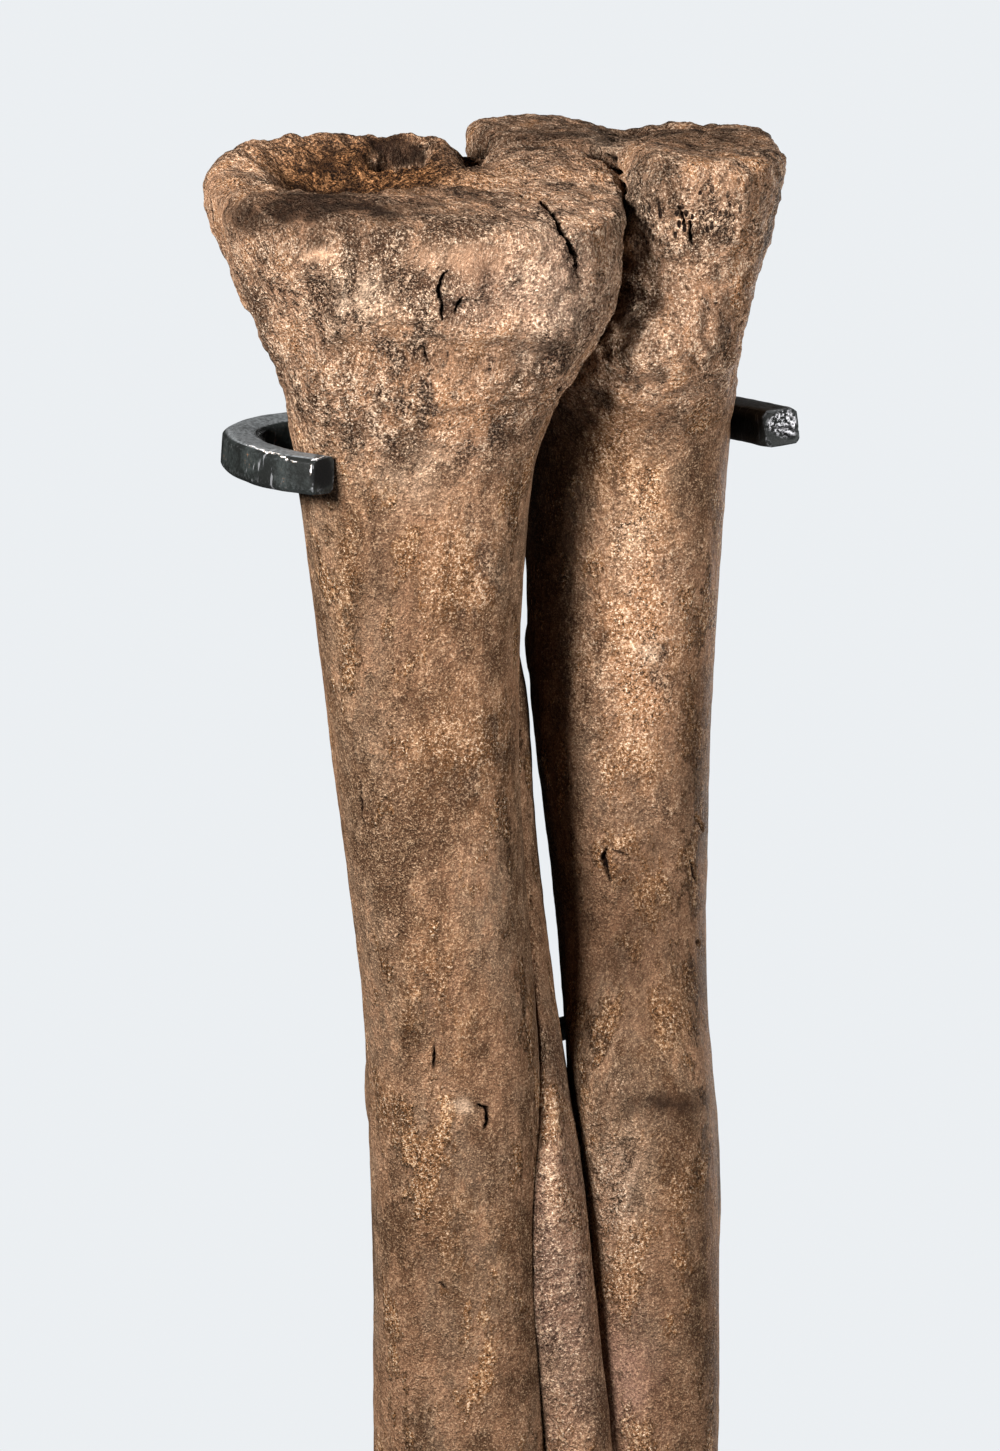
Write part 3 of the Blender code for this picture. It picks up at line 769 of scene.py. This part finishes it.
class Sculpture:
    """A piece's surface while it is worked: points, normals, and the masks it carries."""

    lip_steepness = 2.2
    lip_start = 0.4
    rim_heights = (76.0, 88.0)
    rim_hold = 0.65
    top_normals = (0.15, 0.6)
    top_fade = 6.0

    def __init__(self, shape: bmesh.types.BMesh) -> None:
        """Read a shape's points and normals.

        Args:
            shape: The bmesh, changed in place and freed at the end.
        """
        self.shape = shape
        self.read()
        self.masks = {mask: np.zeros(len(self.points)) for mask in Mask}

    def raise_by(self, amount: np.ndarray) -> None:
        """Move points along their normals by amounts in millimetres."""
        self.push += amount

    def crack(self, crack: Crack) -> None:
        """Open a crack with a soft lip on the viewer's side."""
        share = crack.share(self.spots) * self.faced
        self.push -= crack.depth * share
        self.add(crack.mask, np.clip(share * self.lip_steepness - self.lip_start, 0.0, 1.0))

    def add(self, mask: Mask, share: np.ndarray) -> None:
        """Add a share to a mask, up to 1."""
        self.masks[mask] = np.clip(self.masks[mask] + share, 0.0, 1.0)

    def patch(self, mask: Mask, patch: Bell, drift: np.ndarray) -> None:
        """Lay a patch with ragged edges on the viewer's side."""
        self.add(mask, patch.at(self.spots + drift * np.array(patch.reach)) * self.faced)

    def drift(self) -> np.ndarray:
        """Give how far the edge of a patch wanders at each point, as a share of its reach."""
        return drifts(self.spots, PATCH_DRIFT) * 0.5

    def pull(self, pulls: Sequence[Pull]) -> None:
        """Bring forms nearer to the viewer, and rims with less of a rise."""
        moves = sum((pull.at(self.plan) for pull in pulls), np.zeros(len(self.points)))
        lifts = 1.0 - self.rim_hold * soft_step(self.plan[:, 2], *self.rim_heights)
        for vert, move, lift in zip(self.shape.verts, moves, lifts):
            vert.co += Vector(VIEW.back * (move * MM))
            vert.co.z -= VIEW.back[2] * move * (1.0 - lift) * MM
        self.settle()

    def dip(self, dips: Sequence[Bell], lowest: float) -> None:
        """Change the height of a head's top.

        Args:
            dips: The changes, across and to the front.
            lowest: Height of the plan at which the top starts, in millimetres.
        """
        top = soft_step(self.normals[:, 2], *self.top_normals)
        top *= soft_step(self.plan[:, 2], lowest, lowest + self.top_fade)
        rise = sum(dip.at(self.plan) for dip in dips) * top
        for vert, lift in zip(self.shape.verts, rise):
            vert.co.z += lift * MM
        self.settle()

    def keep_below(self, top: float, knee: float) -> None:
        """Lower what lies above a knee, in proportion, so that nothing passes the top.

        Args:
            top: The highest height of the plan, in millimetres.
            knee: Height of the plan above which points are lowered, in millimetres.
        """
        highest = self.plan[:, 2].max()
        if highest <= top:
            return
        share = (top - knee) / (highest - knee)
        for vert, height in zip(self.shape.verts, self.plan[:, 2]):
            if height > knee:
                vert.co.z -= (height - knee) * (1.0 - share) * MM
        self.read()

    def settle(self) -> None:
        """Apply the moves so far and read the normals again."""
        for vert, normal, push in zip(self.shape.verts, self.normals, self.push):
            vert.co += Vector(normal) * (push * MM)
        self.read()

    def read(self) -> None:
        """Read the points, their normals and where they are seen."""
        self.shape.normal_update()
        self.points = np.array([vert.co for vert in self.shape.verts])
        self.normals = np.array([vert.normal for vert in self.shape.verts])
        self.push = np.zeros(len(self.points))
        self.spots = VIEW.seen(self.points)
        self.plan = VIEW.plan(self.points)
        self.faced = np.clip((self.normals @ VIEW.back) * 4.0, 0.0, 1.0)

    def finish(self, name: str) -> bpy.types.Object:
        """Write the points and masks to a mesh.

        Args:
            name: Name of the mesh and its object.

        Returns:
            The mesh's object.
        """
        self.settle()
        mesh = bpy.data.meshes.new(name)
        self.shape.to_mesh(mesh)
        self.shape.free()
        for mask, values in self.masks.items():
            layer = mesh.attributes.new(mask.value, "FLOAT", "POINT")
            layer.data.foreach_set("value", values.astype(np.float32))
        mesh.shade_smooth()
        return linked(name, mesh)


def soft_step(values: np.ndarray, low: float, high: float) -> np.ndarray:
    """Give a smooth step of values from low to high."""
    share = np.clip((values - low) / (high - low), 0.0, 1.0)
    return share * share * (3.0 - 2.0 * share)


@dataclass(frozen=True)
class Marks:
    """All the marks of one piece at known places: what was broken, rubbed or grown, and painted
    shade and highlights.
    """

    cracks: Sequence[Crack] = ()
    lumps: Sequence[Bell] = ()
    patches: dict[Mask, Sequence[Bell]] = field(default_factory=dict)
    dips: Sequence[Bell] = ()
    spongy: Sequence[Bell] = ()
    swells: Sequence[Bell] = ()
    pulls: Sequence[Pull] = ()
    behind: float = -14.0
    head_from: float = 70.0

    def near(self, middles: np.ndarray, reach: float) -> np.ndarray:
        """Tell which points lie near a crack or in a steep dip.

        Args:
            middles: Points in metres, one per row.
            reach: How near a crack counts, in millimetres.

        Returns:
            A mask with one entry per point.
        """
        spots = VIEW.seen(middles)
        plan = VIEW.plan(middles)
        near = np.zeros(len(middles), dtype=bool)
        for crack in self.cracks:
            near |= (crack.distance(spots)[0] < reach) & (plan[:, 1] > self.behind)
        for dip in self.dips:
            if dip.steep > 1.0:
                near |= (np.abs(dip.at(plan)) > 0.05) & (plan[:, 2] > self.head_from)
        return near

    def lay(self, work: Sculpture) -> None:
        """Lay lumps, patches and cracks on a piece, in that order."""
        for lump in self.lumps:
            work.raise_by(lump.at(work.spots) * work.faced)
        drift = work.drift() if self.patches else work.spots
        for mask, patches in self.patches.items():
            for patch in patches:
                work.patch(mask, patch, drift)
        for crack in self.cracks:
            work.crack(crack)


def dress(piece: bpy.types.Object, node: str, finish: bpy.types.Material) -> None:
    """Give a piece its finish and let it stand for its CAD node.

    Args:
        piece: The sculpted piece.
        node: The CAD node's name.
        finish: The material.
    """
    piece.data.materials.append(finish)
    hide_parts(node)
    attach(piece, "root")
    LOG.info("%s: %d faces", piece.name, len(piece.data.polygons))


@dataclass
class LongBone:
    """One of the three long foot bones, sculpted from its solid.

    Heights are those of the plan, above eye level, in millimetres.
    """

    node: str
    finish: bpy.types.Material
    marks: Marks
    head_from: float = 50.0
    rim_from: float = 64.0
    top_from: float = 74.0
    knee: float = 88.0
    headroom: float = 0.1
    longest_edge: float = 2.2
    crack_reaches: Sequence[float] = (1.3, 0.7)
    rounding: int = 14
    lobe_from: float = -6.0
    waves: Fractal = Fractal(24.0, 2, 1.0, 2.5)
    lumps: Fractal = Fractal(6.0, 3, 4.0)
    grain: Fractal = Fractal(2.6, 4, 9.0)

    def build(self) -> None:
        """Build the bone and dress it."""
        shape = smoothed(copied_solid(self.node), 1)
        cut_long_edges(shape, self.longest_edge)
        shape = smoothed(shape, 1)
        self.round_rim(shape)
        refined(shape, lambda middles: VIEW.plan(middles)[:, 2] > self.head_from)
        for reach in self.crack_reaches:
            refined(shape, lambda middles: self.marks.near(middles, reach))
        work = Sculpture(shape)
        if self.marks.dips:
            work.dip(self.marks.dips, self.top_from)
        if self.marks.pulls:
            work.pull(self.marks.pulls)
        for swell in self.marks.swells:
            work.raise_by(swell.at(work.plan))
        self.weather(work)
        self.marks.lay(work)
        work.settle()
        work.keep_below(CAD_BOX[1][2] / MM - VIEW.aim_height - self.headroom, self.knee)
        dress(work.finish(self.node + "_fossil"), self.node, self.finish)

    def round_rim(self, shape: bmesh.types.BMesh) -> None:
        """Soften the rim of the head, and more so its lobe on the viewer's right."""
        plan = VIEW.plan(np.array([vert.co for vert in shape.verts]))
        high = plan[:, 2] > self.rim_from
        lobe = high & (plan[:, 0] > self.lobe_from) & (plan[:, 2] > self.top_from)
        for zone in (high, lobe):
            rim = [vert for vert, take in zip(shape.verts, zone) if take]
            for _ in range(self.rounding if rim else 0):
                bmesh.ops.smooth_vert(shape, verts=rim, factor=0.5,
                                      use_axis_x=True, use_axis_y=True, use_axis_z=True)

    def weather(self, work: Sculpture) -> None:
        """Give the surface its long waves, lumps and grain."""
        head = soft_step(work.plan[:, 2], self.head_from - 10.0, self.head_from + 10.0)
        top = soft_step(work.normals[:, 2], 0.3, 0.7) * head
        cups = sum((spot.at(work.plan) for spot in self.marks.spongy), np.zeros(len(head)))
        spongy = np.clip(cups, 0.0, 1.0) * top
        work.add(Mask.SPONGY, spongy)
        work.add(Mask.ROUGH, 0.15 + 0.8 * head)
        work.raise_by(self.waves.at(work.points) * 0.35)
        work.raise_by(self.lumps.at(work.points) * (0.10 + 0.65 * head))
        work.raise_by(self.grain.at(work.points) * (0.06 + 0.34 * head + 0.45 * spongy))


@dataclass
class ToeBones:
    """The toe bones and claws, sculpted from their solids."""

    bone: bpy.types.Material
    claw: bpy.types.Material
    longest_edge: float = 2.4
    waves: Fractal = Fractal(11.0, 2, 2.0)
    lumps: Fractal = Fractal(4.0, 3, 5.0)

    def build(self) -> None:
        """Build every toe bone and claw."""
        for name in sorted(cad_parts):
            if name.startswith(("phalanx", "claw")):
                self.build_one(name)

    def build_one(self, node: str) -> None:
        """Build the toe bone or claw of one CAD node."""
        is_claw = node.startswith("claw")
        shape = smoothed(copied_solid(node), 1)
        cut_long_edges(shape, self.longest_edge)
        work = Sculpture(smoothed(shape, 1))
        work.raise_by(self.waves.at(work.points) * 0.35)
        work.raise_by(self.lumps.at(work.points) * (0.08 if is_claw else 0.16))
        piece = work.finish(node + "_fossil")
        if is_claw:
            dress(piece, node, self.claw)
        else:
            dress(piece, node, self.bone)


@dataclass
class Stand:
    """The steel stand: forged bars, post and plate."""

    steel: bpy.types.Material
    yoke: Marks
    edge_angle: float = 0.45
    crease_angle: float = 20.0
    crack_reaches: Sequence[float] = (2.4, 1.5)
    # Painted highlight: the span of upward normals over which top faces turn lighter.
    top_light_from: Point = (0.75, 0.95)
    hammer: Fractal = Fractal(6.0, 2, 3.0)
    hammer_depth: float = 0.12

    def build(self) -> None:
        """Build the bars as worked copies and dress the flat pieces."""
        self.build_bar("upper_yoke", self.yoke)
        self.build_bar("middle_rest", Marks())
        self.build_bar("lower_cradle", Marks())
        for node in ("post", "base_plate"):
            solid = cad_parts[node]
            solid.data.materials.clear()
            solid.data.materials.append(self.steel)
            LOG.info("%s dressed", node)

    def build_bar(self, node: str, marks: Marks) -> None:
        """Build one forged bar with hammer marks, rubbed edges, a painted highlight on its top
        faces and painted shade where marked.

        Args:
            node: The CAD node's name.
            marks: The bar's chips and breaks.
        """
        shape = smoothed(copied_solid(node), 2, self.crease_angle)
        for reach in self.crack_reaches:
            refined(shape, lambda middles: marks.near(middles, reach))
        work = Sculpture(shape)
        work.raise_by(self.hammer.at(work.points) * self.hammer_depth)
        # Painted highlight: faces that point up are painted lighter, as lit from above.
        work.add(Mask.PALE_AND_HIGHLIGHT, soft_step(work.normals[:, 2], *self.top_light_from))
        edges = np.array([max((link.calc_face_angle(0.0) for link in vert.link_edges), default=0.0)
                          for vert in work.shape.verts])
        work.add(Mask.WEAR_AND_HIGHLIGHT, 0.5 * soft_step(edges, self.edge_angle, 2.0 * self.edge_angle))
        marks.lay(work)
        # No painted highlight where painted shade is marked.
        work.masks[Mask.PALE_AND_HIGHLIGHT] *= 1.0 - work.masks[Mask.DARK]
        dress(work.finish(node + "_forged"), node, self.steel)


@dataclass(frozen=True)
class Softbox:
    """A studio light: azimuth and elevation round the heads, distance, size and strength."""

    name: str
    azimuth: float
    elevation: float
    distance: float
    size: float
    power: float
    colour: Colour = (1.0, 1.0, 1.0)

    def build(self, aim: Vector) -> None:
        """Hang the light and turn it to an aim, in metres."""
        lamp = bpy.data.lights.new(self.name, "AREA")
        lamp.shape = "DISK"
        lamp.size = self.size
        lamp.energy = self.power
        lamp.color = self.colour
        turn = math.radians(self.azimuth)
        lift = math.radians(self.elevation)
        level = Vector((math.sin(turn), -math.cos(turn), 0.0))
        back = level * math.cos(lift) + Vector((0.0, 0.0, math.sin(lift)))
        light = linked(self.name, lamp)
        light.location = aim + back * self.distance
        light.rotation_euler = back.to_track_quat("Z", "Y").to_euler()
        light.visible_camera = False


@dataclass
class Studio:
    """A pale floor, a pale surround and soft lights."""

    floor_radius: float = 0.62
    floor_drop: float = 0.0003
    floor_colour: Colour = (0.50, 0.515, 0.53)
    surround: Colour = (0.835, 0.863, 0.888)
    ambient: float = 0.008
    lights: Sequence[Softbox] = (
        Softbox("key", -64.0, 18.0, 0.46, 0.14, 10.5),
        Softbox("fill", 28.0, 6.0, 0.48, 0.16, 4.8),
        Softbox("back", 125.0, -12.0, 1.0, 0.5, 6.0),
    )
    light_lift: float = 0.09

    def build(self) -> None:
        """Build the floor, the lights and the surround."""
        floor = self.build_floor()
        aim = Vector(VIEW.aim) + Vector((0.0, 0.0, self.light_lift))
        for light in self.lights:
            light.build(aim)
        self.build_surround()

    def build_floor(self) -> bpy.types.Object:
        """Build a round floor that fades out to its edge."""
        shape = bmesh.new()
        bmesh.ops.create_circle(shape, cap_ends=True, segments=96, radius=self.floor_radius)
        bmesh.ops.translate(shape, vec=Vector((0, 0, -self.floor_drop)), verts=shape.verts[:])
        mesh = bpy.data.meshes.new("floor")
        shape.to_mesh(mesh)
        shape.free()
        floor = linked("floor", mesh)
        graph = Graph("pale_floor")
        length = graph.node("VectorMath", {"operation": "LENGTH"}, {0: graph.place()})
        out = Socket(graph, length.outputs["Value"])
        fade = out.above(self.floor_radius * 0.5, self.floor_radius)
        paint = graph.finish(base_color=(*self.floor_colour, 1.0), roughness=0.9, alpha=1.0 - fade,
                             specular_ior_level=0.1)
        floor.data.materials.append(paint)
        return floor

    def build_surround(self) -> None:
        """Give the world a pale look and a weaker light."""
        world = bpy.data.worlds.new("surround")
        world.use_nodes = True
        bpy.context.scene.world = world
        tree = world.node_tree
        tree.nodes.clear()
        path = tree.nodes.new("ShaderNodeLightPath")
        shine = tree.nodes.new("ShaderNodeMapRange")
        shine.inputs["To Min"].default_value = self.ambient
        shine.inputs["To Max"].default_value = 1.0
        glow = tree.nodes.new("ShaderNodeBackground")
        glow.inputs["Color"].default_value = (*self.surround, 1.0)
        output = tree.nodes.new("ShaderNodeOutputWorld")
        tree.links.new(path.outputs["Is Camera Ray"], shine.inputs["Value"])
        tree.links.new(shine.outputs[0], glow.inputs["Strength"])
        tree.links.new(glow.outputs[0], output.inputs["Surface"])


SECOND_MARKS = Marks(
    cracks=(
        Crack(((3.2, 81), (5.6, 80), (7.4, 78.5), (9, 75.9), (10.4, 73.7), (11.2, 71.5),
               (11.7, 68)), 0.40, 2),
        Crack(((-8.1, 69.6), (-9.4, 66.5), (-8.9, 64.2), (-8.9, 61.5)), 0.32, 1.2),
        Crack(((-5.8, 65.6), (-6.9, 62.6)), 0.34, 0.9),
        Crack(((-12, 57), (-10.9, 54.6)), 0.26, 0.8),
        Crack(((9, 51.5), (8.2, 48.6), (7.4, 47.6)), 0.35, 0.9),
        Crack(((-21.3, -8.3), (-21.1, -11.3), (-20.7, -15.1)), 0.2, 0.6),
        Crack(((-10.2, -48.6), (-10, -52.4)), 0.24, 1),
        Crack(((-3.3, -57.7), (-2.1, -58.4), (-1.7, -59.7), (-2.4, -61.5)), 0.32, 1.4),
        Crack(((-9.4, -84.7), (-8.1, -85.5)), 0.24, 0.6),
    ),
    lumps=bells((-21.3, 63.2, 5, 4, 1.7), (-26, 71, 10, 2.8, 1.2), (-30, 58, 3, 7, -0.8),
                (-4, 70, 8, 4, 1.5), (-13, 68, 3, 5, -0.6), (-5, 56.5, 15, 2.6, -1.5),
                (-12, 49.5, 9, 3, 0.6), (3, 60.5, 9, 2.5, 1.2), (9, 62, 4, 9, 0.7)),
    patches={
        # Painted shade: in the cavity at the back of the top, on the plateau under the front rim
        # and the hollow left of it, in the groove across the front, and lightly down the middle of
        # the shaft, where it tones down the light from the front.
        Mask.DARK: bells((-17, 88.4, 2.8, 1.4, 1.7, 1.5), (-14, 86.6, 2.8, 1.7, 1.7, 1.5),
                         (-27, 80, 4.5, 1.8, 1.2), (-27, 77.6, 15, 2.9, 1.05),
                         (-36, 79.4, 6.5, 3.6, 0.4), (-10, 79.8, 9, 2.4, 0.45),
                         (-2, 55, 14, 2, 0.6), (-24, 58, 3, 2.2, 0.6), (8, 86, 6, 2.2, 0.3),
                         (-8, 10, 7.5, 40, 0.2), (-8, -80, 7, 30, 0.3), (-17, 22, 6, 12, 0.45)),
        # Rubbed, smooth rim: a bright spot and a band along the front rim are painted highlights;
        # the left rim is rubbed smooth.
        Mask.WEAR_AND_HIGHLIGHT: bells((-28, 72, 3, 1.1, 1), (-6, 71.3, 6.8, 2.2, 0.75), (-43, 80, 2, 6, 0.4)),
        # The first three are painted highlights on the front rim and the lump below it; the others
        # are paler bone.
        Mask.PALE_AND_HIGHLIGHT: bells((-28, 72, 2.2, 0.9, 0.9), (-8, 71.5, 5, 1.6, 0.3),
                         (-23, 64.6, 5, 4.2, 0.9), (8, 67, 7, 9, 0.55), (-21.5, -85, 2.2, 24, 0.6),
                         (-12, 38, 5, 4, 0.4), (-4.6, -57.8, 2.4, 0.9, 0.8)),
        Mask.RED: bells((9, 68, 8, 9, 0.5), (-3, 66, 6, 5, 0.35)),
        Mask.GOLD: bells((-18, 58, 5, 4, 0.7), (-9, 49, 9, 5, 0.8), (-6, 24, 6, 8, 0.9),
                         (-23, 20, 2, 12, 0.7), (-4, -3, 8, 8, 0.7), (-9, -42, 5, 8, 0.8),
                         (-18, -58, 2, 3, 0.8), (-6, -78, 6, 6, 0.6)),
        Mask.ROUGH: bells((-9, 49, 14, 9, 0.7), (-6, 26, 7, 10, 0.5), (-4, -3, 8, 8, 0.4)),
    },
    dips=bells((-32, 9, 9, 8, -2.6), (-19.5, -5, 4.2, 3.6, -5, 2), (-8.6, -9, 2.8, 8, -4),
               (-14, -8, 2.2, 3.5, 0.6), (-33, -9, 10, 6, 1.8), (-44, 0, 6, 12, 0.9),
               (5, 0, 7.5, 8.5, 2.2)),
    spongy=bells((-25, 4.5, 17, 15.5, 1.1, 2.2), (-40, 15, 7, 9, -0.8, 2)),
    swells=(
        Bell((-46, 0, 84), (8, 16, 7), 2),
        Bell((11, 0, 84), (6, 9, 5), 1.6),
        Bell((-30, 0, -5), (7, 12, 12), 0.6),
        Bell((-25.5, 0, -56), (4, 9, 7.5), 0.6, 5),
    ),
)
FOURTH_MARKS = Marks(
    cracks=(
        # Painted shadow: a deep black line in the cleft beside the lobe of the second bone, which
        # shades this head.
        Crack(((16, 86.7), (18.5, 85), (19.9, 82.2), (20.4, 78.4), (20.5, 73.8),
               (20.1, 70)), 0.85, 3.5),
        Crack(((27.4, 79.1), (27.8, 76.1)), 0.3, 1.1),
        Crack(((28.6, 76.5), (29, 73)), 0.3, 1.1),
        Crack(((16.3, -18.5), (15.7, -20), (16.1, -21.7), (16.6, -23.5)), 0.32, 1.1),
        Crack(((17, -18.9), (19.5, -19.7)), 0.18, 0.5),
        Crack(((29.6, -13.6), (30.9, -15.9)), 0.3, 0.9),
        Crack(((28.9, -20.4), (29.6, -23.5)), 0.28, 0.5),
        Crack(((30.1, -32.6), (30.1, -33.6)), 0.28, 0.9),
    ),
    patches={
        Mask.PITTED: bells((27, 77, 6, 5, 1.2), (36, 80, 6, 6, 0.8)),
        # Painted shade: along the top of the head, and in patches down the shaft, strongest on its
        # lower left, where the third bone shades it.
        Mask.DARK: bells((29, 89.6, 15, 2.2, 0.85), (5, 89.5, 9, 3.2, 0.65), (29, -5, 3, 12, 0.5),
                         (20, -32, 8, 22, 0.75), (24, -85, 8, 28, 0.35), (25, -57.3, 6, 1.6, 0.9)),
        Mask.PALE_AND_HIGHLIGHT: bells((21, 78, 3, 5, 0.45), (16.5, 88.5, 2.4, 1.4, 0.9),
                         (19.2, 61.5, 1.4, 2, 0.8), (20, 30, 3, 6, 0.4), (22.8, 11, 1.8, 1.8, 0.9),
                         (19, -70, 3, 8, 0.4)),
        Mask.GOLD: bells((18, 42, 5, 9, 0.7), (21.5, 31, 4.5, 5.5, 1), (20, 16, 4.5, 5.5, 1),
                         (23.5, 7, 5, 7, 1), (21.5, -6, 4, 4, 0.8), (26, -45, 4, 6, 0.5),
                         (28, -70, 3, 5, 0.7)),
        Mask.ROUGH: bells((21.5, 12, 7, 24, 0.8), (17, -72, 4.5, 14, 0.9)),
        Mask.RED: bells((18, -100, 5, 10, 0.9)),
    },
    dips=bells((14, -28, 4.5, 14, -2), (26.5, -28, 1.6, 12, -0.7), (2, -19, 4.5, 3.5, -1.4),
               (28, -14, 6, 3, -1)),
    swells=(
        Bell((-9, -18, 86), (5, 12, 6), 2),
        Bell((17, 4, 74), (5, 10, 16), 5),
        Bell((-1, -20, 31), (6, 12, 11.5), 0.7, 4),
        Bell((-1, -20, 9), (6, 12, 4.5), 0.55, 3),
        Bell((29, -20, -72), (6, 16, 23), 0.7, 6),
    ),
    pulls=(
        Pull(9.5, (42, 60), (-30, -12)),
        Pull(9.5, (-34, -62), (-22, -6)),
    ),
)
THIRD_MARKS = Marks(
    patches={
        Mask.RED: bells((9, -85, 6, 26, 0.7)),
        Mask.ROUGH: bells((9, -80, 6, 30, 0.65)),
        Mask.PALE_AND_HIGHLIGHT: bells((8, -98, 5, 6, 0.2), (9.5, -75, 3, 12, 0.15)),
    },
    swells=(
        Bell((2, 13, -85), (3, 7, 33), 3, 1.5),
    ),
    pulls=(
        Pull(8.5, (-20, -80), (-5, 3)),
    ),
)
YOKE_MARKS = Marks(
    cracks=(
        Crack(((-28.7, 39.8), (-28.8, 38)), 0.06, 0, 0.1, Mask.GOLD),
        Crack(((-28.7, 40.2), (-26.9, 41), (-25.4, 41.4)), 0.11, 0, 0.2, Mask.GOLD),
        Crack(((-38.3, 42.6), (-35.6, 41.6), (-33.2, 40.9), (-31.1, 40.3)),
              0.13, 0.05, 0.6, Mask.GOLD),
        Crack(((41.4, 44.9), (43, 45.3), (45.4, 45.1)), 0.3, 0.6, 0.3),
        Crack(((42.8, 44.6), (44.4, 43.8)), 0.4, 0.5, 0.3),
    ),
    patches={
        # Painted shade: a sharp black patch on the left bar, where it lies in shadow.
        Mask.DARK: bells((-27.2, 38.2, 1.75, 2.9, 1, 6)),
        Mask.ROUGH: bells((43, 45.6, 2, 2.4, 1, 5)),
    },
    behind=-40,
)


def main() -> None:
    """Build the pieces in order and report them."""
    logging.basicConfig(level=logging.INFO, format="%(name)s: %(message)s")
    VIEW.make_camera()
    bone = BoneFinish().make()
    claw = ClawFinish().make()
    steel = SteelFinish().make()
    LongBone("metatarsal_ii", bone, SECOND_MARKS).build()
    LongBone("metatarsal_iv", bone, FOURTH_MARKS, lobe_from=60.0).build()
    LongBone("metatarsal_iii", bone, THIRD_MARKS, rounding=0).build()
    ToeBones(bone, claw).build()
    Stand(steel, YOKE_MARKS).build()
    Studio().build()
    bpy.context.scene.view_settings.view_transform = "Standard"


if __name__ == "__main__":
    main()
